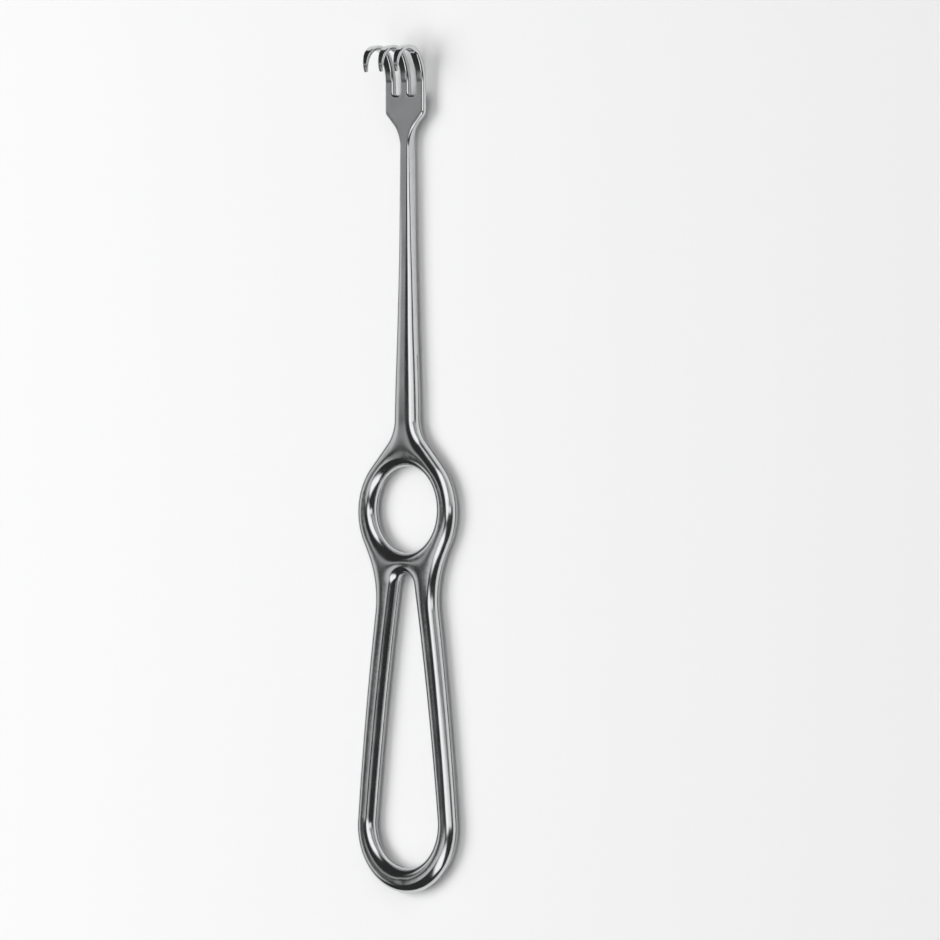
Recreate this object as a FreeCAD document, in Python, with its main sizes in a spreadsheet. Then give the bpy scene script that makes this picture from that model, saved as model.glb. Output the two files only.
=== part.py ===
import FreeCAD, Part
import math
import os
import Sketcher
from FreeCAD import Vector

# Handheld surgical rake retractor, forged and polished from one bar of stainless steel.
# It lies on its back: Z up, the long axis along Y, the head at +Y and the hooks turned up.
# The origin is the middle of the footprint, on the surface that the handle rests on.

doc = FreeCAD.newDocument("Retractor")

# Driving dimensions, in millimetres and degrees
dimensions = {
    "overall_length": 220.0,
    "handle_thickness": 5.4,
    "outer_round": 2.6,
    "inner_round": 2.6,
    # Loop for the palm
    "loop_hole_radius": 11.5,
    "loop_bar": 5.85,
    "loop_end_bar": 6.6,
    "loop_arch_radius": 3.2,
    "limb_bow_radius": 870.0,
    # Finger ring
    "ring_height": 99.6,
    "ring_hole_radius": 11.15,
    "ring_bar": 6.05,
    "ring_outside_drop": 0.6,
    "ring_to_arch_web": 5.7,
    # Waist between loop and ring, and flare between ring and shaft
    "waist_below_ring": 19.0,
    "waist_half_width": 9.8,
    "waist_fillet": 24.0,
    "flare_above_ring": 20.0,
    "flare_half_width": 4.0,
    "flare_fillet": 9.0,
    # Shaft
    "shaft_root_above_ring": 28.4,
    "shaft_root_width": 7.8,
    "shaft_middle_below_neck": 25.0,
    "shaft_middle_width": 4.5,
    "shaft_middle_depth": 4.0,
    "shaft_middle_round": 1.4,
    "neck_width": 3.3,
    "neck_depth": 3.1,
    # Head plate and its tines: the levels run down from the hooks, each from the one above it
    "head_round": 0.65,
    "neck_fillet": 8.5,
    "neck_spread_angle": 45.0,
    "neck_below_shoulder": 10.3,
    "shoulder_below_slots": 4.9,
    "shoulder_fillet": 1.5,
    "plate_thickness": 1.7,
    "thinning_below_shoulder": 1.5,
    "tine_width": 2.85,
    "tine_pitch": 5.45,
    "tine_straight": 2.87,
    "slot_corner": 0.8,
    # Hooks: from the straight tine a slow lead, a tight curl and an easier run to the tip
    "straight_angle": 0.0,
    "lead_radius": 15.0,
    "lead_angle": 29.0,
    "curl_radius": 3.95,
    "curl_angle": 165.0,
    "point_radius": 6.8,
    "point_angle": 195.0,
    "hook_root_straight": 1.2,
    "hook_section_turn": 23.0,
    "tip_width": 0.9,
    "tip_thickness": 0.7,
    "tip_round": 0.2,
}

sheet = doc.addObject("Spreadsheet::Sheet", "Dimensions")
for row, (name, value) in enumerate(dimensions.items(), start=1):
    sheet.set(f"A{row}", name)
    sheet.set(f"B{row}", str(value))
    sheet.setAlias(f"B{row}", name)

# Sizes that follow from the driving ones
derived = {
    "bottom_end": "=-overall_length / 2",
    "top_end": "=overall_length / 2",
    "middle_height": "=handle_thickness / 2",
    "loop_outer_radius": "=loop_hole_radius + loop_bar",
    "loop_outer_centre": "=bottom_end + loop_outer_radius",
    "loop_hole_centre": "=bottom_end + loop_end_bar + loop_hole_radius",
    "opening_bow_radius": "=limb_bow_radius - loop_bar",
    "ring_centre": "=bottom_end + ring_height",
    "ring_outer_radius": "=ring_hole_radius + ring_bar",
    "ring_outer_centre": "=ring_centre - ring_outside_drop",
    "arch_centre": "=ring_centre - ring_hole_radius - ring_to_arch_web - loop_arch_radius",
    "waist_level": "=ring_centre - waist_below_ring",
    "flare_level": "=ring_centre + flare_above_ring",
    "shaft_root": "=ring_centre + shaft_root_above_ring",
    "plate_width": "=2 * tine_pitch + tine_width",
    "plate_back": "=neck_depth / 2 - plate_thickness",
    "plate_middle": "=middle_height + neck_depth / 2 - plate_thickness / 2",
    "slot_width": "=tine_pitch - tine_width",
    "apex_thickness": "=plate_thickness - (plate_thickness - tip_thickness) * 90 / point_angle",
    "lead_run": "=lead_radius * sin(lead_angle * 1deg)",
    "lead_rise": "=lead_radius * (1 - cos(lead_angle * 1deg))",
    "curl_run": "=curl_radius * (sin(curl_angle * 1deg) - sin(lead_angle * 1deg))",
    "curl_rise": "=curl_radius * (cos(lead_angle * 1deg) - cos(curl_angle * 1deg))",
    "apex_run": "=lead_run + curl_radius * (1 - sin(lead_angle * 1deg))",
    "bend_start": "=top_end - apex_thickness / 2 - apex_run",
    "tine_end": "=bend_start - hook_root_straight",
    "slot_level": "=bend_start - tine_straight",
    "shoulder_level": "=slot_level - shoulder_below_slots",
    "plate_start": "=shoulder_level - thinning_below_shoulder",
    "neck_level": "=shoulder_level - neck_below_shoulder",
    "shaft_middle": "=neck_level - shaft_middle_below_neck",
}
for row, (name, formula) in enumerate(derived.items(), start=len(dimensions) + 1):
    sheet.set(f"A{row}", name)
    sheet.set(f"B{row}", formula)
    sheet.setAlias(f"B{row}", name)
doc.recompute()


def size(name):
    """Return a dimension of the sheet as a number."""
    return float(getattr(sheet, name))


body = doc.addObject("PartDesign::Body", "Retractor")
body.Label = "retractor"
body.AllowCompound = True
body.Placement = FreeCAD.Placement(Vector(0, 0, 0), FreeCAD.Rotation())


def origin_plane(role):
    """Return one of the body's own origin planes or axes."""
    return next(item for item in body.Origin.OriginFeatures if item.Role == role)


def new_sketch(name, role, offset=None):
    """Return a sketch on an origin plane, moved off it by an offset expression."""
    sketch = body.newObject("Sketcher::SketchObject", name)
    sketch.AttachmentSupport = (origin_plane(role), [""])
    sketch.MapMode = "FlatFace"
    if offset:
        sketch.setExpression("AttachmentOffset", offset)
    return sketch


def bind(sketch, constraint, expression):
    """Add a constraint to a sketch and tie its value to the sheet."""
    index = sketch.addConstraint(constraint)
    sketch.setExpression(f"Constraints[{index}]", expression)


def place_point(sketch, geometry, position, across, along):
    """Fix a point of a sketch at two distances from the sketch's origin."""
    point = sketch.getPoint(geometry, position)
    bind(sketch, Sketcher.Constraint("DistanceX", -1, 1, geometry, position, point.x), across)
    bind(sketch, Sketcher.Constraint("DistanceY", -1, 1, geometry, position, point.y), along)


def line(sketch, start, end):
    """Add a line between two (x, y) points and return its index."""
    return sketch.addGeometry(Part.LineSegment(Vector(*start, 0), Vector(*end, 0)))


def arc(sketch, centre, radius, first_angle, last_angle):
    """Add an arc drawn counter-clockwise between two angles in radians, and return its index."""
    circle = Part.Circle(Vector(*centre, 0), Vector(0, 0, 1), radius)
    return sketch.addGeometry(Part.ArcOfCircle(circle, first_angle, last_angle))


def circles_cross(first, first_radius, second, second_radius):
    """Return where two circles cross, on the left of the way from the first centre to the second."""
    dx = second[0] - first[0]
    dy = second[1] - first[1]
    apart = math.hypot(dx, dy)
    along = (apart ** 2 + first_radius ** 2 - second_radius ** 2) / (2 * apart)
    aside = math.sqrt(first_radius ** 2 - along ** 2)
    return (first[0] + (along * dx - aside * dy) / apart, first[1] + (along * dy + aside * dx) / apart)


def tangent_from(point, centre, radius):
    """Return the angle on a circle where its right-hand tangent through a point touches it."""
    dx = point[0] - centre[0]
    dy = point[1] - centre[1]
    spread = math.acos(radius / math.hypot(dx, dy))
    direction = math.atan2(dy, dx)
    return direction - spread if dy > 0 else direction + spread


def on_circle(centre, radius, angle):
    """Return the point of a circle at an angle."""
    return (centre[0] + radius * math.cos(angle), centre[1] + radius * math.sin(angle))


def corner_fillet(before, corner, after, radius):
    """Return an arc's centre and both tangent points where it rounds a corner of two lines."""
    to_before = Vector(before[0] - corner[0], before[1] - corner[1], 0).normalize()
    to_after = Vector(after[0] - corner[0], after[1] - corner[1], 0).normalize()
    half_angle = to_before.getAngle(to_after) / 2
    reach = radius / math.tan(half_angle)
    centre = (to_before + to_after).normalize() * (radius / math.sin(half_angle))
    return (
        (corner[0] + centre.x, corner[1] + centre.y),
        (corner[0] + to_before.x * reach, corner[1] + to_before.y * reach),
        (corner[0] + to_after.x * reach, corner[1] + to_after.y * reach),
    )


def bowed_fillet(bow_centre, bow_radius, corner, after, radius):
    """Return an arc's centre and both tangent points where it rounds a bowed side into a line.

    The side and the line meet at the corner, and the arc touches both from the right.
    """
    along = Vector(after[0] - corner[0], after[1] - corner[1], 0).normalize()
    right = Vector(along.y, -along.x, 0)
    start = Vector(corner[0] - bow_centre[0], corner[1] - bow_centre[1], 0) + right * radius
    run = math.sqrt(start.dot(along) ** 2 - start.dot(start) + (bow_radius + radius) ** 2) - start.dot(along)
    spoke = start + along * run
    touch = Vector(spoke).normalize() * bow_radius
    return (
        (bow_centre[0] + spoke.x, bow_centre[1] + spoke.y),
        (bow_centre[0] + touch.x, bow_centre[1] + touch.y),
        (corner[0] + along.x * run, corner[1] + along.y * run),
    )


def angle_from(centre, point):
    """Return the direction from an arc's centre to a point."""
    return math.atan2(point[1] - centre[1], point[0] - centre[0])


def rounded_rectangle(name, role, offset, width, depth, corner):
    """Return a sketch of a rectangle with round corners about its own origin."""
    sketch = new_sketch(name, role, offset)
    w, d, r = 1.5, 1.0, 0.3
    sides = [
        line(sketch, (-w + r, -d), (w - r, -d)),
        line(sketch, (w, -d + r), (w, d - r)),
        line(sketch, (w - r, d), (-w + r, d)),
        line(sketch, (-w, d - r), (-w, -d + r)),
    ]
    corners = [
        arc(sketch, (w - r, -d + r), r, -math.pi / 2, 0),
        arc(sketch, (w - r, d - r), r, 0, math.pi / 2),
        arc(sketch, (-w + r, d - r), r, math.pi / 2, math.pi),
        arc(sketch, (-w + r, -d + r), r, math.pi, 1.5 * math.pi),
    ]
    for index in range(4):
        sketch.addConstraint(Sketcher.Constraint("Tangent", sides[index], 2, corners[index], 1))
        sketch.addConstraint(Sketcher.Constraint("Tangent", corners[index], 2, sides[(index + 1) % 4], 1))
    for index in (0, 2):
        sketch.addConstraint(Sketcher.Constraint("Horizontal", sides[index]))
        sketch.addConstraint(Sketcher.Constraint("Vertical", sides[index + 1]))
    for index in (1, 2, 3):
        sketch.addConstraint(Sketcher.Constraint("Equal", corners[0], corners[index]))
    sketch.addConstraint(Sketcher.Constraint("Symmetric", corners[0], 3, corners[2], 3, -1, 1))
    bind(sketch, Sketcher.Constraint("DistanceX", sides[2], 2, sides[2], 1, 2 * (w - r)),
         f"{width} - 2 * {corner}")
    bind(sketch, Sketcher.Constraint("DistanceY", sides[1], 1, sides[1], 2, 2 * (d - r)),
         f"{depth} - 2 * {corner}")
    bind(sketch, Sketcher.Constraint("Radius", corners[0], r), corner)
    return sketch


# Handle: right half of the outline, from the end of the loop up to the root of the shaft.
# It runs round the loop's end, up the bowed limb, round the waist, round the ring and up the flare.
outline = new_sketch("HandleOutline", "XY_Plane")
loop_centre = (0.0, size("loop_outer_centre"))
ring_centre = (0.0, size("ring_outer_centre"))
loop_outer = size("loop_outer_radius")
ring_outer = size("ring_outer_radius")
waist = (size("waist_half_width"), size("waist_level"))
flare = (size("flare_half_width"), size("flare_level"))
root = (size("shaft_root_width") / 2, size("shaft_root"))

limb_bow = size("limb_bow_radius")
limb_centre = circles_cross(loop_centre, limb_bow - loop_outer, waist, limb_bow)
limb_angle = angle_from(limb_centre, loop_centre)
ring_low_angle = tangent_from(waist, ring_centre, ring_outer)
ring_high_angle = tangent_from(flare, ring_centre, ring_outer)
ring_low = on_circle(ring_centre, ring_outer, ring_low_angle)
ring_high = on_circle(ring_centre, ring_outer, ring_high_angle)
waist_centre, waist_low, waist_high = bowed_fillet(limb_centre, limb_bow, waist, ring_low,
                                                   size("waist_fillet"))
flare_centre, flare_low, flare_high = corner_fillet(ring_high, flare, root, size("flare_fillet"))

loop_end = arc(outline, loop_centre, loop_outer, -math.pi / 2, limb_angle)
limb = arc(outline, limb_centre, limb_bow, limb_angle, angle_from(limb_centre, waist_low))
waist_arc = arc(outline, waist_centre, size("waist_fillet"),
                angle_from(waist_centre, waist_high), angle_from(waist_centre, waist_low))
waist_side = line(outline, waist_high, ring_low)
ring_side = arc(outline, ring_centre, ring_outer, ring_low_angle, ring_high_angle)
flare_side = line(outline, ring_high, flare_low)
flare_arc = arc(outline, flare_centre, size("flare_fillet"),
                angle_from(flare_centre, flare_high), angle_from(flare_centre, flare_low))
root_side = line(outline, flare_high, root)
root_end = line(outline, root, (0.0, root[1]))
axis_side = line(outline, (0.0, root[1]), (0.0, size("bottom_end")))

for first, first_end, second, second_end in (
    (loop_end, 2, limb, 1),
    (limb, 2, waist_arc, 2),
    (waist_arc, 1, waist_side, 1),
    (waist_side, 2, ring_side, 1),
    (ring_side, 2, flare_side, 1),
    (flare_side, 2, flare_arc, 2),
    (flare_arc, 1, root_side, 1),
):
    outline.addConstraint(Sketcher.Constraint("Tangent", first, first_end, second, second_end))
outline.addConstraint(Sketcher.Constraint("Coincident", root_side, 2, root_end, 1))
outline.addConstraint(Sketcher.Constraint("Coincident", root_end, 2, axis_side, 1))
outline.addConstraint(Sketcher.Constraint("Coincident", axis_side, 2, loop_end, 1))
outline.addConstraint(Sketcher.Constraint("Horizontal", root_end))
outline.addConstraint(Sketcher.Constraint("Vertical", axis_side))
outline.addConstraint(Sketcher.Constraint("PointOnObject", axis_side, 1, -2))
outline.addConstraint(Sketcher.Constraint("PointOnObject", loop_end, 3, -2))
outline.addConstraint(Sketcher.Constraint("PointOnObject", ring_side, 3, -2))
bind(outline, Sketcher.Constraint("DistanceY", -1, 1, loop_end, 3, loop_centre[1]),
     "Dimensions.loop_outer_centre")
bind(outline, Sketcher.Constraint("Radius", loop_end, loop_outer), "Dimensions.loop_outer_radius")
bind(outline, Sketcher.Constraint("DistanceY", -1, 1, ring_side, 3, ring_centre[1]),
     "Dimensions.ring_outer_centre")
bind(outline, Sketcher.Constraint("Radius", ring_side, ring_outer), "Dimensions.ring_outer_radius")
bind(outline, Sketcher.Constraint("Radius", limb, limb_bow), "Dimensions.limb_bow_radius")
bind(outline, Sketcher.Constraint("Radius", waist_arc, size("waist_fillet")), "Dimensions.waist_fillet")
bind(outline, Sketcher.Constraint("Radius", flare_arc, size("flare_fillet")), "Dimensions.flare_fillet")
place_point(outline, root_side, 2, "Dimensions.shaft_root_width / 2", "Dimensions.shaft_root")
for corner, low_side, high_side, across, along in (
    (waist, limb, waist_side, "Dimensions.waist_half_width", "Dimensions.waist_level"),
    (flare, flare_side, root_side, "Dimensions.flare_half_width", "Dimensions.flare_level"),
):
    marker = outline.addGeometry(Part.Point(Vector(*corner, 0)), True)
    outline.addConstraint(Sketcher.Constraint("PointOnObject", marker, 1, low_side))
    outline.addConstraint(Sketcher.Constraint("PointOnObject", marker, 1, high_side))
    place_point(outline, marker, 1, across, along)

handle = body.newObject("PartDesign::Pad", "HandleBlank")
handle.Profile = outline
handle.setExpression("Length", "Dimensions.handle_thickness")

mirror = body.newObject("PartDesign::Mirrored", "HandleMirror")
mirror.Originals = [handle]
mirror.MirrorPlane = (origin_plane("YZ_Plane"), [""])
body.Tip = mirror
doc.recompute()

# Finger ring: a round hole through the blank
ring_hole = new_sketch("RingHole", "XY_Plane")
hole_level = size("ring_centre")
hole_radius = size("ring_hole_radius")
hole = Part.Circle(Vector(0, hole_level, 0), Vector(0, 0, 1), hole_radius)
hole_circle = ring_hole.addGeometry(hole)
ring_hole.addConstraint(Sketcher.Constraint("PointOnObject", hole_circle, 3, -2))
bind(ring_hole, Sketcher.Constraint("DistanceY", -1, 1, hole_circle, 3, hole_level),
     "Dimensions.ring_centre")
bind(ring_hole, Sketcher.Constraint("Radius", hole_circle, hole_radius), "Dimensions.ring_hole_radius")

# Loop: a long teardrop opening, wide at the palm and closed by a small arch below the ring
loop_opening = new_sketch("LoopOpening", "XY_Plane")
palm_centre = (0.0, size("loop_hole_centre"))
palm_radius = size("loop_hole_radius")
arch_centre = (0.0, size("arch_centre"))
arch_radius = size("loop_arch_radius")
bow_radius = size("opening_bow_radius")
bow_centre = circles_cross(palm_centre, bow_radius - palm_radius, arch_centre, bow_radius - arch_radius)
palm_lean = angle_from(bow_centre, palm_centre)
arch_lean = angle_from(bow_centre, arch_centre)
palm_arc = arc(loop_opening, palm_centre, palm_radius, math.pi - palm_lean, 2 * math.pi + palm_lean)
arch_arc = arc(loop_opening, arch_centre, arch_radius, arch_lean, math.pi - arch_lean)
right_bow = arc(loop_opening, bow_centre, bow_radius, palm_lean, arch_lean)
left_bow = arc(loop_opening, (-bow_centre[0], bow_centre[1]), bow_radius,
               math.pi - arch_lean, math.pi - palm_lean)
for first, second in (
    (palm_arc, right_bow), (right_bow, arch_arc), (arch_arc, left_bow), (left_bow, palm_arc),
):
    loop_opening.addConstraint(Sketcher.Constraint("Tangent", first, 2, second, 1))
for item, level, radius in (
    (palm_arc, "loop_hole_centre", "loop_hole_radius"),
    (arch_arc, "arch_centre", "loop_arch_radius"),
):
    loop_opening.addConstraint(Sketcher.Constraint("PointOnObject", item, 3, -2))
    bind(loop_opening, Sketcher.Constraint("DistanceY", -1, 1, item, 3, size(level)), f"Dimensions.{level}")
    bind(loop_opening, Sketcher.Constraint("Radius", item, size(radius)), f"Dimensions.{radius}")
bind(loop_opening, Sketcher.Constraint("Radius", right_bow, bow_radius), "Dimensions.opening_bow_radius")
bind(loop_opening, Sketcher.Constraint("Radius", left_bow, bow_radius), "Dimensions.opening_bow_radius")


def cut_through(name, sketch):
    """Pocket a sketch right through both ways, and check that it took metal away."""
    before = body.Tip.Shape.Volume
    pocket = body.newObject("PartDesign::Pocket", name)
    pocket.Profile = sketch
    pocket.Type = "ThroughAll"
    pocket.SideType = "Symmetric"
    doc.recompute()
    if not pocket.Shape.Volume < before:
        raise RuntimeError(f"{name} cut nothing")
    return pocket


cut_through("RingCut", ring_hole)
opened = cut_through("LoopCut", loop_opening)


def flat_face(shape, level):
    """Return the largest flat face of a shape that lies level at a height."""
    level_faces = [
        face for face in shape.Faces
        if face.BoundBox.ZLength < 0.001 and abs(face.BoundBox.ZMax - level) < 0.001
    ]
    return max(level_faces, key=lambda face: face.Area)


def edge_names(shape, edges):
    """Return the names by which a shape knows some of its edges."""
    return [
        f"Edge{number}" for number, edge in enumerate(shape.Edges, start=1)
        if any(edge.isSame(other) for other in edges)
    ]


def fillet(name, base, edges, radius):
    """Round some edges of a feature by a dimension of the sheet."""
    rounding = body.newObject("PartDesign::Fillet", name)
    rounding.Base = (base, edge_names(base.Shape, edges))
    rounding.setExpression("Radius", f"Dimensions.{radius}")
    doc.recompute()
    return rounding


# The forging die leaves every rim of the handle round, and the inner rims a little less so
blank_faces = [flat_face(opened.Shape, level) for level in (0.0, size("handle_thickness"))]
inner_rims = [
    edge for face in blank_faces for wire in face.Wires if not wire.isSame(face.OuterWire)
    for edge in wire.Edges
]
inner_rounding = fillet("InnerRims", opened, inner_rims, "inner_round")
blank_faces = [flat_face(inner_rounding.Shape, level) for level in (0.0, size("handle_thickness"))]
outer_rims = [
    edge for face in blank_faces for edge in face.OuterWire.Edges
    if edge.BoundBox.YMin < root[1] - 0.01
]
outer_rounding = fillet("OuterRims", inner_rounding, outer_rims, "outer_round")

# Head: a flat plate that spreads out of the neck and ends in tines
plan = new_sketch(
    "HeadPlan", "XY_Plane",
    "placement(vector(0; 0; Dimensions.middle_height); rotation(vector(0; 0; 1); 0))",
)
neck_half = size("neck_width") / 2
plate_half = size("plate_width") / 2
spread = math.radians(size("neck_spread_angle"))
neck_fillet = size("neck_fillet")
shoulder_fillet = size("shoulder_fillet")
neck_level = size("neck_level")
tine_end_level = size("tine_end")
sweep_end = on_circle((neck_half + neck_fillet, 0.0), neck_fillet, math.pi - spread)
shoulder = (plate_half, size("shoulder_level"))
rise = (plate_half - sweep_end[0]) / math.tan(spread)
neck_start = shoulder[1] - rise - sweep_end[1]
neck_centre = (neck_half + neck_fillet, neck_start)
sweep_end = (sweep_end[0], sweep_end[1] + neck_start)
shoulder_centre, shoulder_low, shoulder_high = corner_fillet(
    sweep_end, shoulder, (plate_half, tine_end_level), shoulder_fillet)
neck_side = line(plan, (neck_half, neck_level), (neck_half, neck_start))
neck_arc = arc(plan, neck_centre, neck_fillet, math.pi - spread, math.pi)
spread_side = line(plan, sweep_end, shoulder_low)
shoulder_arc = arc(plan, shoulder_centre, shoulder_fillet, -spread, 0.0)
plate_side = line(plan, shoulder_high, (plate_half, tine_end_level))
tine_line = line(plan, (plate_half, tine_end_level), (0.0, tine_end_level))
plan_axis = line(plan, (0.0, tine_end_level), (0.0, neck_level))
neck_line = line(plan, (0.0, neck_level), (neck_half, neck_level))
for first, first_end, second, second_end in (
    (neck_side, 2, neck_arc, 2),
    (neck_arc, 1, spread_side, 1),
    (spread_side, 2, shoulder_arc, 1),
    (shoulder_arc, 2, plate_side, 1),
):
    plan.addConstraint(Sketcher.Constraint("Tangent", first, first_end, second, second_end))
for first, second in (
    (plate_side, tine_line), (tine_line, plan_axis), (plan_axis, neck_line), (neck_line, neck_side),
):
    plan.addConstraint(Sketcher.Constraint("Coincident", first, 2, second, 1))
for side in (neck_side, plate_side, plan_axis):
    plan.addConstraint(Sketcher.Constraint("Vertical", side))
for side in (tine_line, neck_line):
    plan.addConstraint(Sketcher.Constraint("Horizontal", side))
plan.addConstraint(Sketcher.Constraint("PointOnObject", plan_axis, 1, -2))
place_point(plan, neck_side, 1, "Dimensions.neck_width / 2", "Dimensions.neck_level")
place_point(plan, tine_line, 1, "Dimensions.plate_width / 2", "Dimensions.tine_end")
bind(plan, Sketcher.Constraint("Radius", neck_arc, neck_fillet), "Dimensions.neck_fillet")
bind(plan, Sketcher.Constraint("Radius", shoulder_arc, shoulder_fillet), "Dimensions.shoulder_fillet")
bind(plan, Sketcher.Constraint("Angle", spread_side, math.pi / 2 - spread),
     "(90 - Dimensions.neck_spread_angle) * 1deg")
shoulder_mark = plan.addGeometry(Part.Point(Vector(*shoulder, 0)), True)
plan.addConstraint(Sketcher.Constraint("PointOnObject", shoulder_mark, 1, spread_side))
plan.addConstraint(Sketcher.Constraint("PointOnObject", shoulder_mark, 1, plate_side))
bind(plan, Sketcher.Constraint("DistanceY", -1, 1, shoulder_mark, 1, shoulder[1]),
     "Dimensions.shoulder_level")
head_blank = body.newObject("PartDesign::Pad", "HeadBlank")
head_blank.Profile = plan
head_blank.SideType = "Symmetric"
head_blank.setExpression("Length", "Dimensions.neck_depth")
head_mirror = body.newObject("PartDesign::Mirrored", "HeadMirror")
head_mirror.Originals = [head_blank]
head_mirror.MirrorPlane = (origin_plane("YZ_Plane"), [""])
body.Tip = head_mirror
doc.recompute()

# The plate is forged thinner than the neck: flush at the front, with a gentle S along the back
side_view = new_sketch(
    "PlateBack", "YZ_Plane",
    "placement(vector(0; Dimensions.middle_height; 0); rotation(vector(0; 0; 1); 0))",
)
neck_back = -size("neck_depth") / 2
plate_back = size("plate_back")
plate_start = size("plate_start")
step = (plate_back - neck_back) / 2
half_run = (plate_start - neck_level) / 2
bend = (half_run ** 2 + step ** 2) / (2 * step)
turn = math.asin(half_run / bend)
below = 2 * neck_back
rising = arc(side_view, (neck_level, neck_back + bend), bend, -math.pi / 2, -math.pi / 2 + turn)
levelling = arc(side_view, (plate_start, plate_back - bend), bend, math.pi / 2, math.pi / 2 + turn)
plate_line = line(side_view, (plate_start, plate_back), (tine_end_level, plate_back))
end_line = line(side_view, (tine_end_level, plate_back), (tine_end_level, below))
low_line = line(side_view, (tine_end_level, below), (neck_level, below))
near_line = line(side_view, (neck_level, below), (neck_level, neck_back))
side_view.addConstraint(Sketcher.Constraint("Coincident", near_line, 2, rising, 1))
side_view.addConstraint(Sketcher.Constraint("Tangent", rising, 2, levelling, 2))
side_view.addConstraint(Sketcher.Constraint("Tangent", levelling, 1, plate_line, 1))
side_view.addConstraint(Sketcher.Constraint("Equal", rising, levelling))
side_view.addConstraint(Sketcher.Constraint("Vertical", rising, 3, rising, 1))
for first, second in ((plate_line, end_line), (end_line, low_line), (low_line, near_line)):
    side_view.addConstraint(Sketcher.Constraint("Coincident", first, 2, second, 1))
for item in (plate_line, low_line):
    side_view.addConstraint(Sketcher.Constraint("Horizontal", item))
for item in (end_line, near_line):
    side_view.addConstraint(Sketcher.Constraint("Vertical", item))
place_point(side_view, near_line, 2, "Dimensions.neck_level", "-Dimensions.neck_depth / 2")
place_point(side_view, plate_line, 1, "Dimensions.plate_start", "Dimensions.plate_back")
place_point(side_view, end_line, 2, "Dimensions.tine_end", "-Dimensions.neck_depth")
cut_through("PlateThinning", side_view)

# Two slots part the plate into three tines
slots = new_sketch(
    "Slots", "XY_Plane",
    "placement(vector(0; 0; Dimensions.middle_height); rotation(vector(0; 0; 1); 0))",
)
slot_half = size("slot_width") / 2
slot_corner = size("slot_corner")
slot_level = size("slot_level")
for side in (-1, 1):
    middle = side * size("tine_pitch") / 2
    left, right = middle - slot_half, middle + slot_half
    low_line = line(slots, (left + slot_corner, slot_level), (right - slot_corner, slot_level))
    right_arc = arc(slots, (right - slot_corner, slot_level + slot_corner), slot_corner, -math.pi / 2, 0.0)
    right_line = line(slots, (right, slot_level + slot_corner), (right, tine_end_level))
    top_line = line(slots, (right, tine_end_level), (left, tine_end_level))
    left_line = line(slots, (left, tine_end_level), (left, slot_level + slot_corner))
    left_arc = arc(slots, (left + slot_corner, slot_level + slot_corner), slot_corner,
                   math.pi, 1.5 * math.pi)
    for first, second in (
        (low_line, right_arc), (right_arc, right_line), (left_line, left_arc), (left_arc, low_line),
    ):
        slots.addConstraint(Sketcher.Constraint("Tangent", first, 2, second, 1))
    for first, second in ((right_line, top_line), (top_line, left_line)):
        slots.addConstraint(Sketcher.Constraint("Coincident", first, 2, second, 1))
    slots.addConstraint(Sketcher.Constraint("Horizontal", low_line))
    slots.addConstraint(Sketcher.Constraint("Horizontal", top_line))
    slots.addConstraint(Sketcher.Constraint("Vertical", right_line))
    slots.addConstraint(Sketcher.Constraint("Vertical", left_line))
    slots.addConstraint(Sketcher.Constraint("Equal", left_arc, right_arc))
    bind(slots, Sketcher.Constraint("Radius", right_arc, slot_corner), "Dimensions.slot_corner")
    place_point(slots, top_line, 1, f"{side} * Dimensions.tine_pitch / 2 + Dimensions.slot_width / 2",
                "Dimensions.tine_end")
    bind(slots, Sketcher.Constraint("DistanceX", -1, 1, top_line, 2, left),
         f"{side} * Dimensions.tine_pitch / 2 - Dimensions.slot_width / 2")
    bind(slots, Sketcher.Constraint("DistanceY", -1, 1, low_line, 1, slot_level), "Dimensions.slot_level")
slotted = cut_through("SlotCut", slots)


def head_rims(shape):
    """Return the edges that run round the front and the back of the head and its slots."""
    rims = []
    for edge in shape.Edges:
        box = edge.BoundBox
        on_head = box.YMin > neck_level - 0.01 and box.YMax > neck_level + 0.01
        on_end = box.YMin > tine_end_level - 0.01
        upright = box.XLength < 0.001 and box.YLength < 0.001
        across = box.YLength < 0.001 and box.XLength > size("slot_width")
        if on_head and not on_end and not upright and not across:
            rims.append(edge)
    return rims


head_rounding = fillet("HeadRims", slotted, head_rims(slotted.Shape), "head_round")

# Shaft: a tapering bar with round corners, drawn out from the flare to the neck of the head
shaft_sections = [
    rounded_rectangle(
        name, "XZ_Plane",
        f"placement(vector(0; Dimensions.middle_height; -Dimensions.{level}); rotation(vector(1; 0; 0); 0))",
        f"Dimensions.{width}", f"Dimensions.{depth}", f"Dimensions.{corner}",
    )
    for name, level, width, depth, corner in (
        ("ShaftRoot", "shaft_root", "shaft_root_width", "handle_thickness", "outer_round"),
        ("ShaftMiddle", "shaft_middle", "shaft_middle_width", "shaft_middle_depth", "shaft_middle_round"),
        ("ShaftNeck", "neck_level", "neck_width", "neck_depth", "head_round"),
    )
]
shaft = body.newObject("PartDesign::AdditiveLoft", "Shaft")
shaft.Profile = shaft_sections[0]
shaft.Sections = [(section, [""]) for section in shaft_sections[1:]]
doc.recompute()


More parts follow.
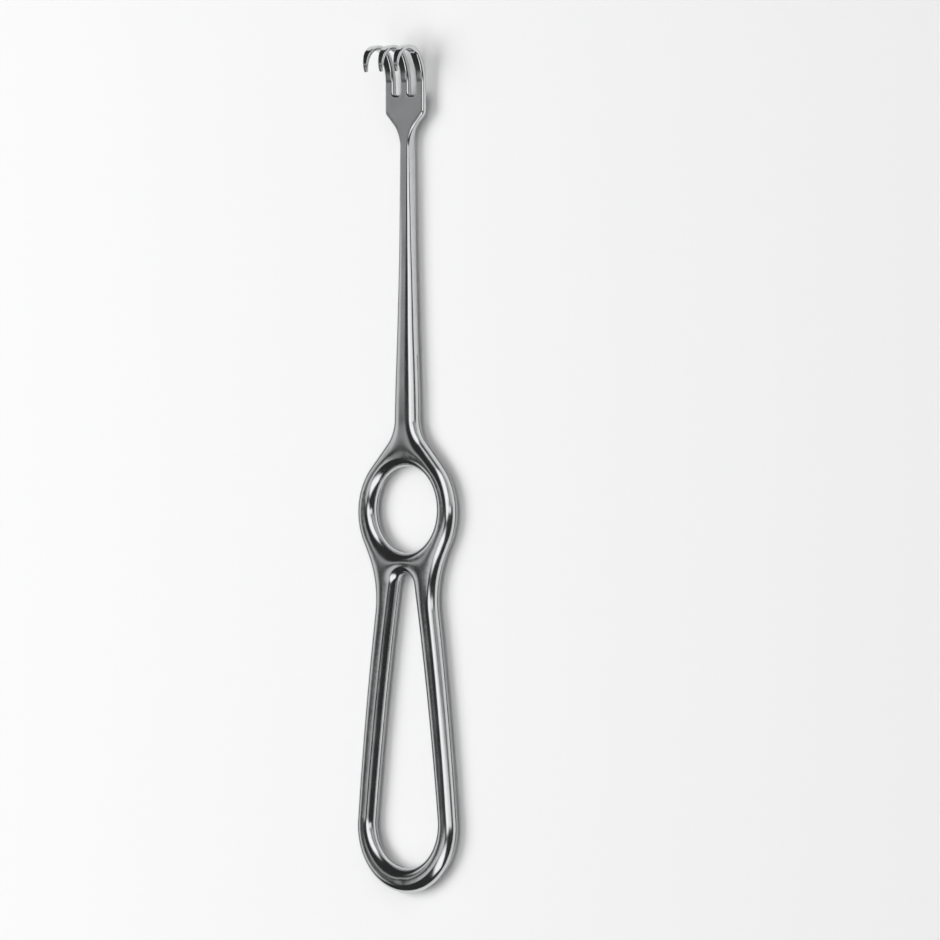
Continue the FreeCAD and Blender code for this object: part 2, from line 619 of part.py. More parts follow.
# Hooks: each tine is drawn thinner and narrower as it is bent round to its blunt tip.
# A station is a section square to the bend, placed by how far the tine has turned there.
def hook_station(turned, radius, arc_start, run, rise):
    """Return a section sketch where the tine has turned by an angle on an arc of the bend."""
    run_here = f"{run} + {radius} * (sin({turned}) - sin({arc_start}))"
    rise_here = f"{rise} + {radius} * (cos({arc_start}) - cos({turned}))"
    share = f"({turned} / (Dimensions.point_angle * 1deg))"
    width = f"(Dimensions.tine_width - (Dimensions.tine_width - Dimensions.tip_width) * {share} ^ 4)"
    thinning = "(Dimensions.plate_thickness - Dimensions.tip_thickness)"
    thickness = f"(Dimensions.plate_thickness - {thinning} * {share})"
    return rounded_rectangle(
        "HookSection", "XZ_Plane",
        f"placement(vector(-Dimensions.tine_pitch; Dimensions.plate_middle + {rise_here};"
        f" -(Dimensions.bend_start + {run_here})); rotation(vector(1; 0; 0); {turned}))",
        width, thickness, f"Dimensions.head_round / Dimensions.plate_thickness * {thickness}",
    )


hook_arcs = (
    ("lead_radius", "straight_angle", "lead_angle", "0", "0"),
    ("curl_radius", "lead_angle", "curl_angle", "Dimensions.lead_run", "Dimensions.lead_rise"),
    ("point_radius", "curl_angle", "point_angle",
     "(Dimensions.lead_run + Dimensions.curl_run)", "(Dimensions.lead_rise + Dimensions.curl_rise)"),
)
straight_section = hook_station("0deg", "0", "0deg", "-Dimensions.hook_root_straight", "0")
hook_sections = [straight_section]
for radius, start, end, run, rise in hook_arcs:
    stations = math.ceil((size(end) - size(start)) / size("hook_section_turn"))
    turn = f"(Dimensions.{end} - Dimensions.{start})"
    hook_sections += [
        hook_station(f"((Dimensions.{start} + {turn} * {station} / {stations}) * 1deg)",
                     f"Dimensions.{radius}", f"Dimensions.{start} * 1deg", run, rise)
        for station in range(stations)
    ]
hook_sections.append(hook_station(
    "(Dimensions.point_angle * 1deg)", "Dimensions.point_radius", "Dimensions.curl_angle * 1deg", run, rise))
hook = body.newObject("PartDesign::AdditiveLoft", "Hook")
hook.Profile = hook_sections[0]
hook.Sections = [(section, [""]) for section in hook_sections[1:]]
doc.recompute()

hooks = body.newObject("PartDesign::LinearPattern", "Hooks")
hooks.Originals = [hook]
hooks.Direction = (origin_plane("X_Axis"), [""])
hooks.setExpression("Length", "2 * Dimensions.tine_pitch")
hooks.Occurrences = 3
body.Tip = hooks
doc.recompute()

# The tips are blunt, so that they hold tissue without piercing it
tip_place = hook_sections[-1].getGlobalPlacement().Base
tip_edges = []
for tine in range(3):
    tip = tip_place + Vector(tine * size("tine_pitch"), 0, 0)
    tip_face = min(hooks.Shape.Faces, key=lambda face: face.CenterOfMass.distanceToPoint(tip))
    tip_edges += tip_face.Edges
tips = fillet("Tips", hooks, tip_edges, "tip_round")
body.Tip = tips
doc.recompute()

for item in doc.Objects:
    if "Invalid" in item.State or "Error" in item.State:
        raise RuntimeError(f"{item.Name} failed: {item.State}")
if body.Shape.isNull() or not body.Shape.isValid() or len(body.Shape.Solids) != 1:
    raise RuntimeError("the retractor is not one valid solid")
os.makedirs("parts", exist_ok=True)
body.Shape.exportStep(f"parts/{body.Label}.step")
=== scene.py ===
import math

import bmesh
import bpy
import numpy as np
from mathutils import Matrix, Vector
from mathutils.geometry import delaunay_2d_cdt


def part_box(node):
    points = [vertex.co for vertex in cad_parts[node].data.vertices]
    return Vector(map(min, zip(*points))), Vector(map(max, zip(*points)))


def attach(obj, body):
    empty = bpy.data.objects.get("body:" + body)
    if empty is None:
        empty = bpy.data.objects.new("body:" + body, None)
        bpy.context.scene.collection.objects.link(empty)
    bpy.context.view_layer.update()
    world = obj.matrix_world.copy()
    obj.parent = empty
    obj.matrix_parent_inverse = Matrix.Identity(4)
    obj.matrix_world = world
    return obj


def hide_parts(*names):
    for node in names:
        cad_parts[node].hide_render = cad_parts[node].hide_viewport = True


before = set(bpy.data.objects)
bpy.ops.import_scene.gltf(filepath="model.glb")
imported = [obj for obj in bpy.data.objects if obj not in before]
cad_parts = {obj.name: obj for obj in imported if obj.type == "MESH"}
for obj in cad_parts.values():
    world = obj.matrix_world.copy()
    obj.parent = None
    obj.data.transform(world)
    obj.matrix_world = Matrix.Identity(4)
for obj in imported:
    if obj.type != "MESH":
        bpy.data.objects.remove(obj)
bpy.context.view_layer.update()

# Outline of the forging, seen from the front: a palm loop, a waist, a finger ring, a tapering shaft
# and a head that spreads into tines. It is one bar of stainless steel, struck in a die and trimmed.
# Lengths are in millimetres and plan points are complex numbers, x + iy, with the metal on the left.
MM = 0.001
low, high = (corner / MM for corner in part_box("retractor"))
bottom_end, top_end = low.y, high.y
loop_centre = 1j * (bottom_end + high.x)
loop_radius = high.x
limb_bow = 870.0
ring_centre = -11.0j
ring_radius = 17.2
waist, waist_bend = 9.8 - 29.4j, 24.0
flare, flare_bend = 4.0 + 9.6j, 9.0
shaft_root, shaft_middle, neck = 18.0, 57.0, 82.0
shaft_root_half, shaft_middle_half, neck_half = 3.9, 2.25, 1.65
shaft_stations = [0.0, shaft_root, 35.0, shaft_middle, 69.5, neck, top_end]
shaft_halves = [4.114, shaft_root_half, 3.078, shaft_middle_half, 1.918, neck_half, neck_half]
flare_fade, shaft_columns = 4.0, 110
neck_bend, neck_spread = 8.5, math.radians(45)
plate_half, shoulder_level, shoulder_bend = 6.875, 92.3, 1.5
tine_half, tine_pitch, tine_end = 1.425, 5.45, 98.87
slot_level, slot_corner = 97.2, 0.8
finest, fine, coarse = 0.12, 0.35, 0.8


def straight(start, end, step=coarse):
    """Points of a straight run and their inward normals, a quarter turn left of its direction."""
    count = max(2, math.ceil(abs(end - start) / step) + 1)
    along = np.linspace(0, 1, count)
    return start + (end - start) * along, np.full(count, 1j * (end - start) / abs(end - start))


def bend(centre, start, turn, step=fine):
    """Points of an arc from a start point through a turn, and their inward normals.

    A left turn bulges outwards, so its normals point to the centre, and a right turn's point away.
    """
    spoke = start - centre
    count = max(2, math.ceil(abs(spoke) * abs(turn) / step) + 1)
    spokes = spoke * np.exp(1j * np.linspace(0, turn, count))
    return centre + spokes, -math.copysign(1, turn) * spokes / abs(spoke)


def unit(vector):
    """The direction of a plan vector."""
    return vector / abs(vector)


def turn_to(centre, start, end):
    """The shorter turn about a centre that takes one point to another."""
    return np.angle((end - centre) / (start - centre))


def touching(point, centre, radius, side):
    """Where a line from a point touches a circle.

    The spoke to the touching point is acos(radius / distance) off the way to the point, to the left
    where side is 1 and to the right where it is -1.
    """
    reach = point - centre
    return centre + unit(reach) * radius * np.exp(side * 1j * np.arccos(radius / abs(reach)))


def crossing(one, one_radius, two, two_radius):
    """Where two circles cross, on the left of the way from one to two.

    The crossing is (apart^2 + one_radius^2 - two_radius^2) / (2 apart) along that way, and as far off
    it as the first radius leaves.
    """
    apart = abs(two - one)
    along = (apart ** 2 + one_radius ** 2 - two_radius ** 2) / (2 * apart)
    return one + unit(two - one) * (along + 1j * math.sqrt(one_radius ** 2 - along ** 2))


def rounded(before, corner, after, radius):
    """Points of the arc that rounds a corner of two straight runs, with their inward normals.

    Its centre is on the corner's bisector, radius / sin(half angle) out, and it starts and ends
    radius / tan(half angle) along the runs.
    """
    one, two = unit(before - corner), unit(after - corner)
    half = abs(np.angle(two / one)) / 2
    centre = corner + unit(one + two) * radius / math.sin(half)
    start = corner + one * radius / math.tan(half)
    end = corner + two * radius / math.tan(half)
    return bend(centre, start, turn_to(centre, start, end))


def joined(*runs):
    """One contour from runs that follow each other, without the points that they share."""
    return tuple(
        np.concatenate([run[part][(index > 0):] for index, run in enumerate(runs)]) for part in (0, 1)
    )


def fair(level, levels, values, window=5.0, samples=41):
    """A size along the handle: straight runs between stations, averaged over a window."""
    offsets = np.linspace(-window, window, samples)
    return np.interp(np.asarray(level)[..., None] + offsets, levels, values).mean(axis=-1)


def half_width(level):
    """Half the shaft's width at a level along Y."""
    return fair(level, shaft_stations, shaft_halves)


# The limb's bow is a wide arc through the corner of the waist; the loop's round lies inside the arc
# and touches it
limb_centre = crossing(loop_centre, limb_bow - loop_radius, waist, limb_bow)
loop_start = loop_centre - 1j * loop_radius
loop_touch = loop_centre + loop_radius * unit(loop_centre - limb_centre)
ring_low = touching(waist, ring_centre, ring_radius, 1)
ring_high = touching(flare, ring_centre, ring_radius, -1)
root = shaft_root_half + 1j * shaft_root

# The waist's round touches the bowed limb and the straight run to the ring: its centre is a radius
# off the run, and a radius outside the limb's bow
run_direction = unit(ring_low - waist)
offset = waist - limb_centre - 1j * run_direction * waist_bend
along = (offset * np.conj(run_direction)).real
run_length = math.sqrt(along ** 2 - abs(offset) ** 2 + (limb_bow + waist_bend) ** 2) - along
waist_centre = limb_centre + offset + run_direction * run_length
limb_touch = limb_centre + limb_bow * unit(waist_centre - limb_centre)
waist_end = waist + run_direction * run_length
flare_arc = rounded(ring_high, flare, root, flare_bend)

# The neck spreads along an arc, then straight out to the shoulder of the plate, which is rounded off
shoulder = plate_half + 1j * shoulder_level
neck_turn = neck_half + neck_bend
spread_start = neck_turn + neck_bend * np.exp(1j * (math.pi - neck_spread))
spread_rise = (plate_half - spread_start.real) / math.tan(neck_spread)
neck_start = shoulder_level - spread_rise - spread_start.imag
spread_start += 1j * neck_start
shoulder_arc = rounded(spread_start, shoulder, plate_half + 1j * tine_end, shoulder_bend)

# The shaft's side starts where the flare ends, and the small step to its own width fades out
flare_end = flare_arc[0][-1]
shaft_levels = np.linspace(flare_end.imag, neck_start, shaft_columns)
shaft_side = half_width(shaft_levels) + 1j * shaft_levels
fade = np.exp(-(shaft_levels - shaft_levels[0]) / flare_fade)
shaft_side.real += (flare_end.real - shaft_side[0].real) * fade
slope = np.gradient(shaft_side)
right_side = joined(
    bend(loop_centre, loop_start, turn_to(loop_centre, loop_start, loop_touch)),
    bend(limb_centre, loop_touch, turn_to(limb_centre, loop_touch, limb_touch), coarse),
    bend(waist_centre, limb_touch, turn_to(waist_centre, limb_touch, waist_end)),
    straight(waist_end, ring_low),
    bend(ring_centre, ring_low, turn_to(ring_centre, ring_low, ring_high)),
    straight(ring_high, flare_arc[0][0]),
    flare_arc,
    (shaft_side, 1j * slope / abs(slope)),
    bend(neck_turn + 1j * neck_start, neck_half + 1j * neck_start, -neck_spread),
    straight(spread_start, shoulder_arc[0][0]),
    shoulder_arc,
    straight(shoulder_arc[0][-1], plate_half + 1j * tine_end, fine),
)
left_side = tuple(-np.conj(part[::-1]) for part in right_side)
outside = joined(left_side, right_side)

# The finger ring's hole, and the long opening of the palm loop: a wide round below, a narrow arch
# above and a bow between them on each side
ring_hole_centre, ring_hole_radius = -10.4j, 11.15
ring_hole = bend(ring_hole_centre, ring_hole_centre + 1j * ring_hole_radius, -2 * math.pi)

palm_centre, palm_radius = 1j * (bottom_end + 18.1), 11.5
arch_centre, arch_radius = -30.45j, 3.2
opening_bow = 864.15
bow_centre = crossing(palm_centre, opening_bow - palm_radius, arch_centre, opening_bow - arch_radius)
palm_spoke, arch_spoke = unit(palm_centre - bow_centre), unit(arch_centre - bow_centre)
palm_touch = palm_centre + palm_radius * palm_spoke
arch_touch = arch_centre + arch_radius * arch_spoke
arch_turn = np.angle(arch_spoke) - math.pi / 2
bow_turn = turn_to(bow_centre, arch_touch, palm_touch)
palm_hole = joined(
    bend(arch_centre, arch_centre + 1j * arch_radius, arch_turn),
    bend(bow_centre, arch_touch, bow_turn, coarse),
    bend(palm_centre, palm_touch, -math.pi - 2 * np.angle(palm_spoke)),
    bend(-np.conj(bow_centre), -np.conj(palm_touch), bow_turn, coarse),
    bend(arch_centre, -np.conj(arch_touch), arch_turn),
)


def slot(middle):
    """The contour of the slot between two tines, down one side, across its end and up the other."""
    half = tine_pitch / 2 - tine_half
    right, left = middle + half, middle - half
    turn = slot_level + slot_corner
    right_corner, left_corner = right - slot_corner, left + slot_corner
    return joined(
        straight(right + 1j * tine_end, right + 1j * turn, fine),
        bend(right_corner + 1j * turn, right + 1j * turn, -math.pi / 2, finest),
        straight(right_corner + 1j * slot_level, left_corner + 1j * slot_level, fine),
        bend(left_corner + 1j * turn, left_corner + 1j * slot_level, -math.pi / 2, finest),
        straight(left + 1j * turn, left + 1j * tine_end, fine),
    )


right_slot, left_slot = slot(tine_pitch / 2), slot(-tine_pitch / 2)

# Thickness of the forging: level along the handle, tapering up the shaft, then flush at the front of
# the head and thinned from its back. Every rim is polished round, and the faces are faintly crowned.
thickness_levels = [0.0, shaft_root, shaft_middle, neck, top_end]
front_heights = [5.4, 5.4, 4.7, 4.25, 4.25]
back_heights = [0.0, 0.0, 0.7, 1.15, 1.15]
rim_radii = [2.6, 2.6, 1.4, 0.65, 0.65]
plate_thinning, thinning_run = 1.4, 8.8
crown_height, crown_run, crown_fade = 0.28, 1.4, 34.0
rim_rows, tine_columns = 13, 5


def ease(share):
    """An S-curve from 0 to 1: 3 share^2 - 2 share^3, level at both ends and beyond them."""
    share = np.clip(share, 0, 1)
    return share ** 2 * (3 - 2 * share)


def front(level):
    """Height of the front face at a level along Y."""
    return fair(level, thickness_levels, front_heights)


def back(level):
    """Height of the back face at a level: the taper, and a smooth step where the plate is thinned."""
    thinned = plate_thinning * ease((level - neck) / thinning_run)
    return fair(level, thickness_levels, back_heights) + thinned


def crown_at(level):
    """How far a wide face's crown stands above its rims: full at the handle, eased out to the neck.

    The rims are lowered by this much. On a narrow bar both rims are near, so that its whole face comes
    down with them, and the bar is thinner than the solid.
    """
    return crown_height * ease((neck - level) / crown_fade)


def distances(points, contours, block_size=400):
    """Distance from each plan point to each contour: to the nearest point of any of its segments."""
    found = []
    for contour in contours:
        start, run = contour[:-1], np.diff(contour)
        nearest = []
        for block in np.array_split(points, len(points) // block_size + 1):
            away = block[:, None] - start
            share = np.clip((away * np.conj(run)).real / abs(run) ** 2, 0, 1)
            nearest.append(abs(away - share * run).min(axis=1))
        found.append(np.concatenate(nearest))
    return np.array(found)


def rises(points, contours):
    """How far a crowned face has risen from each rim, as shares: 1 - exp(-distance / run)."""
    return 1 - np.exp(-distances(points, contours) / crown_run)


def rim(points, inward):
    """The round rim along a contour, as rows from the back face round to the front.

    A row at an angle lies radius * (1 - cos angle) in from the contour and crown + radius * (sin last
    - sin angle) short of the face. The last angle falls short of a right angle by the slope at which
    the crowned face goes on.
    """
    level = points.imag
    radius = np.interp(level, *fair_rims)
    others = np.sort(rises(points + inward * radius, nominal_borders), axis=0)[1:]
    last = math.pi / 2 - np.arctan(crown_at(level) / crown_run * others.prod(axis=0))
    share = np.linspace(0, 1, rim_rows)[:, None]
    rows = []
    for face, side in ((back, -1), (front, 1)):
        angle = share[::side] * last
        row = points + inward * radius * (1 - np.cos(angle))
        drop = crown_at(row.imag) + radius * (np.sin(last) - np.sin(angle))
        rows.append((row, face(row.imag) - side * drop))
    return tuple(np.concatenate([row[part] for row in rows]) for part in (0, 1))


rim_levels = np.linspace(bottom_end, top_end, 400)
fair_rims = (rim_levels, fair(rim_levels, thickness_levels, rim_radii))
halves = (left_side, right_side, ring_hole, palm_hole)
nominal_borders = [
    contour[0] + contour[1] * np.interp(contour[0].imag, *fair_rims) for contour in halves
]
contours = {
    "outside": outside,
    "ring": ring_hole,
    "palm": palm_hole,
    "right_slot": right_slot,
    "left_slot": left_slot,
}
rims = {name: rim(*contour) for name, contour in contours.items()}
borders = {name: grid[0][-1] for name, grid in rims.items()}


def tine_row(start, end):
    """The inner points of the row where a face runs on into a hook."""
    return start + (end - start) * np.linspace(0, 1, tine_columns + 1)[1:-1]


loops = [
    np.concatenate([
        borders["outside"],
        tine_row(borders["outside"][-1], borders["right_slot"][0]),
        borders["right_slot"],
        tine_row(borders["right_slot"][-1], borders["left_slot"][0]),
        borders["left_slot"],
        tine_row(borders["left_slot"][-1], borders["outside"][0]),
    ]),
    borders["ring"][:-1],
    borders["palm"][:-1],
]


def inside(points, closed_loops):
    """Whether plan points are inside the loops: a ray along X crosses them an odd number of times."""
    crossings = np.zeros(len(points), int)
    for loop in closed_loops:
        one, two = loop, np.roll(loop, -1)
        y = points.imag[:, None]
        spans = (one.imag > y) != (two.imag > y)
        rise = np.where(two.imag == one.imag, 1, two.imag - one.imag)
        crossing = one.real + (y - one.imag) * (two.real - one.real) / rise
        crossings += (spans & (points.real[:, None] < crossing)).sum(axis=1)
    return crossings % 2 == 1


# The front and back faces: a net of near-equal triangles that fills the plan between the rims. Both
# faces of the forging share it, and each has its own crown.
face_step = 0.62
net_clearance = 0.45 * face_step
columns = np.arange(-ring_radius, ring_radius, face_step)
rows = np.arange(bottom_end, tine_end, face_step * math.sqrt(3) / 2)
net = columns[None, :] + 1j * rows[:, None]
net[1::2] += face_step / 2
net = net.ravel()
net = net[inside(net, loops)]
closed = [np.append(loop, loop[0]) for loop in loops]
net = net[distances(net, closed).min(axis=0) > net_clearance]
plan = np.concatenate(loops + [net])
sizes = [len(loop) for loop in loops]
starts = np.cumsum([0] + sizes[:-1])
edges = [
    (int(start + index), int(start + (index + 1) % size))
    for start, size in zip(starts, sizes) for index in range(size)
]
all_triangles, same_place = 0, 1e-6
corners = [Vector((place.real, place.imag)) for place in plan]
flat = delaunay_2d_cdt(corners, edges, [], all_triangles, same_place)
plan = np.array([complex(*place) for place in flat[0]])
triangles = np.array(flat[2])
triangles = triangles[inside(plan[triangles].mean(axis=1), loops)]

middle = len(left_side[0]) - 1
face_borders = [
    borders["outside"][:middle + 1], borders["outside"][middle:], borders["ring"], borders["palm"],
]
risen = rises(plan, face_borders).prod(axis=0)
hollow = crown_at(plan.imag) * (1 - risen)

# Hooks: each tine of the head runs on into a hook of the same steel, bent up out of the plate and
# round to a blunt tip. It is drawn thinner and narrower on the way.
hook_root = 1.2
lead, curl, point = (15.0, 29.0), (3.95, 165.0), (6.8, 195.0)
tip_half_width, tip_half_thickness = 0.45, 0.35
tine_half_thickness = 0.85
tine_round_share = rim_radii[-1] / (2 * tine_half_thickness)
narrowing = 4
tip_cap, cap_rows = 0.3, 8
station_step, substeps = 0.25, 20

# The tine's line in its own plane, y + iz: a straight root, then three arcs of a radius up to a turn
turns = np.radians([0, 0, lead[1], curl[1], point[1]])
radii = np.array([lead[0], curl[0], point[0]])
lengths = np.concatenate([[hook_root], radii * np.diff(turns[1:])])
knots = np.concatenate([[0], np.cumsum(lengths)])
stations = math.ceil(knots[-1] / station_step)
steps = np.linspace(0, knots[-1] - tip_cap, substeps * stations + 1)
turned = np.interp(steps, knots, turns)
strides = np.exp(1j * (turned[1:] + turned[:-1]) / 2) * np.diff(steps)
line = np.concatenate([[0], np.cumsum(strides)])[::substeps]
turned = turned[::substeps]
share = turned / turns[-1]
half_widths = tine_half - (tine_half - tip_half_width) * share ** narrowing
half_thicknesses = tine_half_thickness - (tine_half_thickness - tip_half_thickness) * share

# The tip closes as a quarter ellipse, whose last ring is a point
cap = np.linspace(0, math.pi / 2, cap_rows + 1)[1:]
line = np.concatenate([line, line[-1] + np.exp(1j * turned[-1]) * tip_cap * np.sin(cap)])
turned = np.concatenate([turned, np.full(len(cap), turned[-1])])
half_widths = np.concatenate([half_widths, half_widths[-1] * np.cos(cap)])
half_thicknesses = np.concatenate([half_thicknesses, half_thicknesses[-1] * np.cos(cap)])


def hook(centre):
    """A hook's surface, as rows round the section and columns along the tine's line.

    The section is a rectangle with round corners: a corner's row at an angle lies radius * (1 - cos)
    in from the side and radius * (1 - sin) down from the face. It stands square to the line, so its
    height above the line leans by the line's turn: back by height * sin, up by height * cos.
    """
    corner = 2 * tine_round_share * half_thicknesses
    angle = np.linspace(0, math.pi / 2, rim_rows)[:, None]
    quarter_across = half_widths - corner * (1 - np.cos(angle))
    quarter_up = half_thicknesses - corner * (1 - np.sin(angle))
    flat_share = np.linspace(1, -1, tine_columns + 1)[1:-1, None]
    flat_across = flat_share * quarter_across[-1]
    flat_up = np.broadcast_to(half_thicknesses, flat_across.shape)
    across = np.concatenate([quarter_across[::-1], quarter_across, flat_across])
    raised = np.concatenate([-quarter_up[::-1], quarter_up, flat_up])
    across = np.concatenate([across, -across, across[:1]])
    raised = np.concatenate([raised, -raised, raised[:1]])
    plate_middle = front(np.array(tine_end)) - tine_half_thickness
    y = tine_end + line.real - raised * np.sin(turned)
    z = plate_middle + line.imag + raised * np.cos(turned)
    return np.stack([centre + across, y, z], axis=-1)


def surface(grid):
    """A grid's points and its quads: each runs along its row, over to the next row and back."""
    rows, columns = grid.shape[:2]
    first = (np.arange(rows - 1)[:, None] * columns + np.arange(columns - 1)).ravel()
    quads = np.stack([first, first + 1, first + columns + 1, first + columns], axis=1)
    return grid.reshape(-1, 3), quads


# The one piece: rims, hooks, front face and back face, welded where they meet
skins = [
    surface(np.stack([places.real, places.imag, heights], axis=-1)) for places, heights in rims.values()
]
skins += [surface(hook(centre)) for centre in (-tine_pitch, 0.0, tine_pitch)]
points, polygons, count = [], [], 0
for vertices, quads in skins:
    points.append(vertices)
    polygons += (quads + count).tolist()
    count += len(vertices)
for height, order in ((front(plan.imag) - hollow, 1), (back(plan.imag) + hollow, -1)):
    points.append(np.stack([plan.real, plan.imag, height], axis=-1))
    polygons += (triangles[:, ::order] + count).tolist()
    count += len(plan)

mesh = bpy.data.meshes.new("forging")
mesh.from_pydata(np.concatenate(points) * MM, [], polygons)
weld_reach = 2e-6
welded = bmesh.new()
welded.from_mesh(mesh)
bmesh.ops.remove_doubles(welded, verts=welded.verts, dist=weld_reach)
loose = [vertex for vertex in welded.verts if not vertex.link_faces]
bmesh.ops.delete(welded, geom=loose, context="VERTS")
welded.to_mesh(mesh)
welded.free()
mesh.shade_smooth()
forging = bpy.data.objects.new("forging", mesh)
bpy.context.scene.collection.objects.link(forging)
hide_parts("retractor")
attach(forging, "root")

# Finish: belt-polished along the handle, then buffed. What is left is a fine lengthwise grain, a few
# hairlines, soft clouds where the buff ran drier, and rims that handling has worn a little brighter.


class Signal:
    """An output socket of a node tree, with arithmetic that adds math nodes to the tree."""

    def __init__(self, tree, socket):
        self.tree, self.socket = tree, socket

    def node(self, kind, inputs, output=0, **settings):
        """An output of a new node with these settings, whose inputs are values or other signals."""
        made = self.tree.nodes.new(kind)
        for name, value in settings.items():
            setattr(made, name, value)
        for name, value in inputs.items():
            if isinstance(value, Signal):
                self.tree.links.new(value.socket, made.inputs[name])
            else:
                made.inputs[name].default_value = value
        return Signal(self.tree, made.outputs[output])

    def math(self, operation, *values):
        """The result of an operation on these values, as a math node works it out."""
        return self.node("ShaderNodeMath", dict(enumerate(values)), operation=operation)

    def __add__(self, other):
        return self.math("ADD", self, other)

    def __mul__(self, other):
        return self.math("MULTIPLY", self, other)

    def __sub__(self, other):
        return self.math("SUBTRACT", self, other)

    def __rsub__(self, other):
        return self.math("SUBTRACT", other, self)

    def __abs__(self):
        return self.math("ABSOLUTE", self)

    __radd__ = __add__
    __rmul__ = __mul__

    def eased(self, low, high):
        """An S-curve from 0 to 1 as the signal goes from the low value to the high one."""
        values = {"Value": self, "From Min": low, "From Max": high}
        return self.node("ShaderNodeMapRange", values, interpolation_type="SMOOTHSTEP")

    def noise(self, x, y, z, detail=2.0):
        """Noise of the signal as a place, from 0 to 1, with features this long along X, Y and Z."""
        stretch = (1 / (x * MM), 1 / (y * MM), 1 / (z * MM))
        place = self.node("ShaderNodeVectorMath", {0: self, 1: stretch}, operation="MULTIPLY")
        return self.node("ShaderNodeTexNoise", {"Vector": place, "Scale": 1.0, "Detail": detail})

    def mixed(self, one, two):
        """A colour from one to two as the signal goes from 0 to 1."""
        colours = {0: self, 6: (*one, 1.0), 7: (*two, 1.0)}
        return self.node("ShaderNodeMix", colours, output=2, data_type="RGBA")


clouded_steel, buffed_steel = (0.585, 0.593, 0.603), (0.655, 0.660, 0.665)
steel = bpy.data.materials.new("polished_steel")
steel.use_nodes = True
tree = steel.node_tree
shader = tree.nodes["Principled BSDF"]
shader.inputs["Metallic"].default_value = 1.0
place = Signal(tree, tree.nodes.new("ShaderNodeTexCoord").outputs["Object"])
outward = Signal(tree, tree.nodes.new("ShaderNodeNewGeometry").outputs["Normal"])
facing_up = abs(outward.node("ShaderNodeSeparateXYZ", {0: outward}, output=2))

grain = place.noise(0.11, 7.0, 0.11, detail=3.0)
streaks = place.noise(0.5, 22.0, 0.5)
clouds = place.noise(5.0, 12.0, 5.0, detail=3.0)
swell = place.noise(3.5, 9.0, 3.5, detail=1.0)
hairline_course = place.noise(0.9, 34.0, 0.9, detail=1.0)
hairlines = 1 - abs(hairline_course - 0.5).eased(0.0, 0.006)
scratch_patches = place.noise(4.0, 9.0, 4.0).eased(0.52, 0.66)
hairlines = hairlines * scratch_patches
worn = (1 - facing_up.eased(0.35, 0.98)) * place.noise(1.4, 3.0, 1.4).eased(0.3, 0.7)

roughness = 0.115 + 0.05 * clouds.eased(0.35, 0.7) + 0.05 * (streaks - 0.5) + 0.05 * (grain - 0.5)
roughness = roughness + 0.10 * hairlines + 0.02 * worn
tree.links.new(roughness.socket, shader.inputs["Roughness"])
tone = 0.45 * clouds + 0.35 * streaks + 0.2 * grain + 0.25 * worn
colour = tone.eased(0.3, 0.9).mixed(clouded_steel, buffed_steel)
tree.links.new(colour.socket, shader.inputs["Base Color"])

# Heights of the relief, in millimetres
relief = 0.0005 * grain + 0.0022 * streaks + 0.03 * swell - 0.0006 * hairlines
bump = relief.node("ShaderNodeBump", {"Height": relief, "Distance": MM, "Strength": 1.0})
tree.links.new(bump.socket, shader.inputs["Normal"])
mesh.materials.append(steel)

# Floor: a plain sheet of matt white paper that the retractor lies on. It reaches well past the view,
# so that the steel mirrors it all round.
reach = 6.0
paper_white, paper_roughness = (0.92, 0.92, 0.92, 1.0), 0.9
floor_mesh = bpy.data.meshes.new("floor")
corners = [(-reach, -reach, 0), (reach, -reach, 0), (reach, reach, 0), (-reach, reach, 0)]
floor_mesh.from_pydata(corners, [], [(0, 1, 2, 3)])
floor = bpy.data.objects.new("floor", floor_mesh)
bpy.context.scene.collection.objects.link(floor)
paper = bpy.data.materials.new("paper")
paper.use_nodes = True
paper_shader = paper.node_tree.nodes["Principled BSDF"]
paper_shader.inputs["Base Color"].default_value = paper_white
paper_shader.inputs["Roughness"].default_value = paper_roughness
floor_mesh.materials.append(paper)

# Studio: a dark room with soft-edged panes of light. Places in it are given by roll about the handle,
# from overhead toward the right, and by tilt from there toward the head, both in degrees.
world = bpy.data.worlds.new("studio")
world.use_nodes = True
bpy.context.scene.world = world
room = world.node_tree
background = room.nodes["Background"]
direction = Signal(room, room.nodes.new("ShaderNodeTexCoord").outputs["Generated"])
toward_right, toward_head, overhead = (
    direction.node("ShaderNodeSeparateXYZ", {0: direction}, output=axis) for axis in range(3)
)
roll = direction.math("DEGREES", direction.math("ARCTAN2", toward_right, overhead))
tilt = direction.math("DEGREES", direction.math("ARCSINE", toward_head))


def pane(angle_spans, edge):
    """A pane of light: 1 where each angle is in its span, falling to 0 over a soft edge outside."""
    lit = 1.0
    for angle, low_end, high_end in angle_spans:
        lit = angle.eased(low_end - edge, low_end) * lit * (1 - angle.eased(high_end, high_end + edge))
    return lit


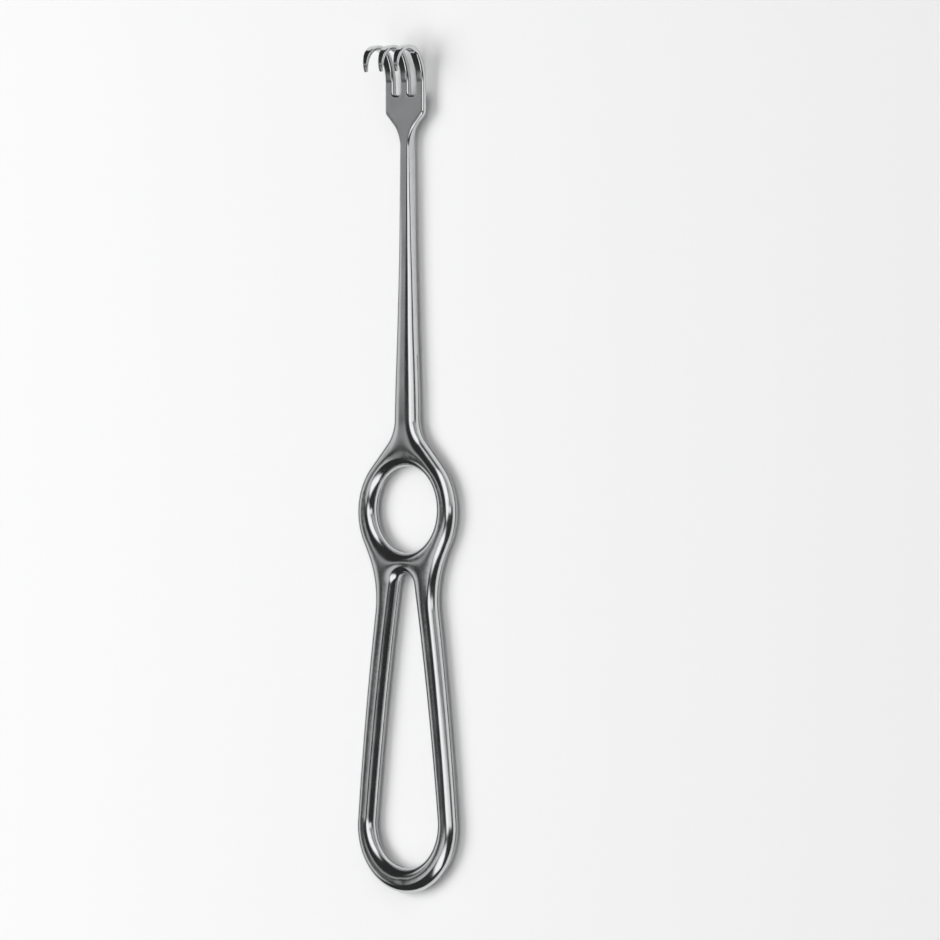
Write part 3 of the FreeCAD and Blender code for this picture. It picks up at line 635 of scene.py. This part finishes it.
# The loop's pane leans over with its tilt. Where the first five panes overlap, they don't add up.
leaning = roll + 0.5 * (tilt + 35)
head_pane = pane([(roll, 18, 42), (tilt, 18, 48)], 18)
strip_pane = pane([(roll, 16, 30), (tilt, -3, 14)], 8)
slit_pane = 0.85 * pane([(roll, 18, 60)], 16) * pane([(tilt, 0.5, 6)], 4)
loop_pane = pane([(leaning, -2, 28), (tilt, -54, -24)], 13)
limb_pane = 0.5 * pane([(roll, -38, -8)], 9) * pane([(tilt, -13, -5)], 3)
right_pane = pane([(roll, 66, 100), (tilt, 16, 80)], 12)
left_pane = pane([(roll, -69, -59), (tilt, -14, 16)], 10)
ceiling_pane = pane([(roll, -52, -34)], 8) * tilt.eased(-1.0, 3.0) * (1 - tilt.eased(3.5, 7.5))
unlit = (1 - head_pane) * (1 - strip_pane) * (1 - slit_pane) * (1 - loop_pane) * (1 - limb_pane)
dark_walls, bright_panes = 0.035, 1.42
light = dark_walls + bright_panes * (1 - unlit)
light = light + 0.5 * right_pane + 0.75 * left_pane + 0.47 * ceiling_pane
room.links.new(light.socket, background.inputs["Color"])

# The key lamp lights the paper from the upper left; the steel mirrors the panes alone
key_roll, key_distance = math.radians(-30), 1.6
key_width, key_length, key_watts = 1.3, 1.6, 20.0
key_data = bpy.data.lights.new("key", "AREA")
key_data.shape = "RECTANGLE"
key_data.size, key_data.size_y = key_width, key_length
key_data.energy = key_watts
key = bpy.data.objects.new("key", key_data)
key_way = Vector((math.sin(key_roll), 0.0, math.cos(key_roll)))
key_side = Vector((math.cos(key_roll), 0.0, -math.sin(key_roll)))
key_turn = Matrix((key_side, Vector((0.0, 1.0, 0.0)), key_way)).transposed().to_4x4()
key.matrix_world = Matrix.Translation(key_way * key_distance) @ key_turn
key.visible_glossy = False
bpy.context.scene.collection.objects.link(key)

# Camera: a long lens, square across the handle and rolled toward its right side by the oblique angle
# at which the figure shows it.
view_tilt = math.radians(43.5)
lens = 400.0
sensor = 36.0
field_width = 0.2439
axis_offset, level_offset = 0.01614, -0.00013
handle_middle = 0.0027
right = Vector((math.cos(view_tilt), 0.0, -math.sin(view_tilt)))
up = Vector((0.0, 1.0, 0.0))
toward_camera = Vector((math.sin(view_tilt), 0.0, math.cos(view_tilt)))
camera_data = bpy.data.cameras.new("camera")
camera_data.lens = lens
camera_data.sensor_width = sensor
camera_data.clip_end = 100.0
camera = bpy.data.objects.new("camera", camera_data)
bpy.context.scene.collection.objects.link(camera)
aim = Vector((0.0, level_offset, handle_middle)) + right * axis_offset
camera_distance = lens / sensor * field_width
turn = Matrix((right, up, toward_camera)).transposed().to_4x4()
camera.matrix_world = Matrix.Translation(aim + toward_camera * camera_distance) @ turn
bpy.context.scene.camera = camera

bpy.context.scene.view_settings.view_transform = "Standard"
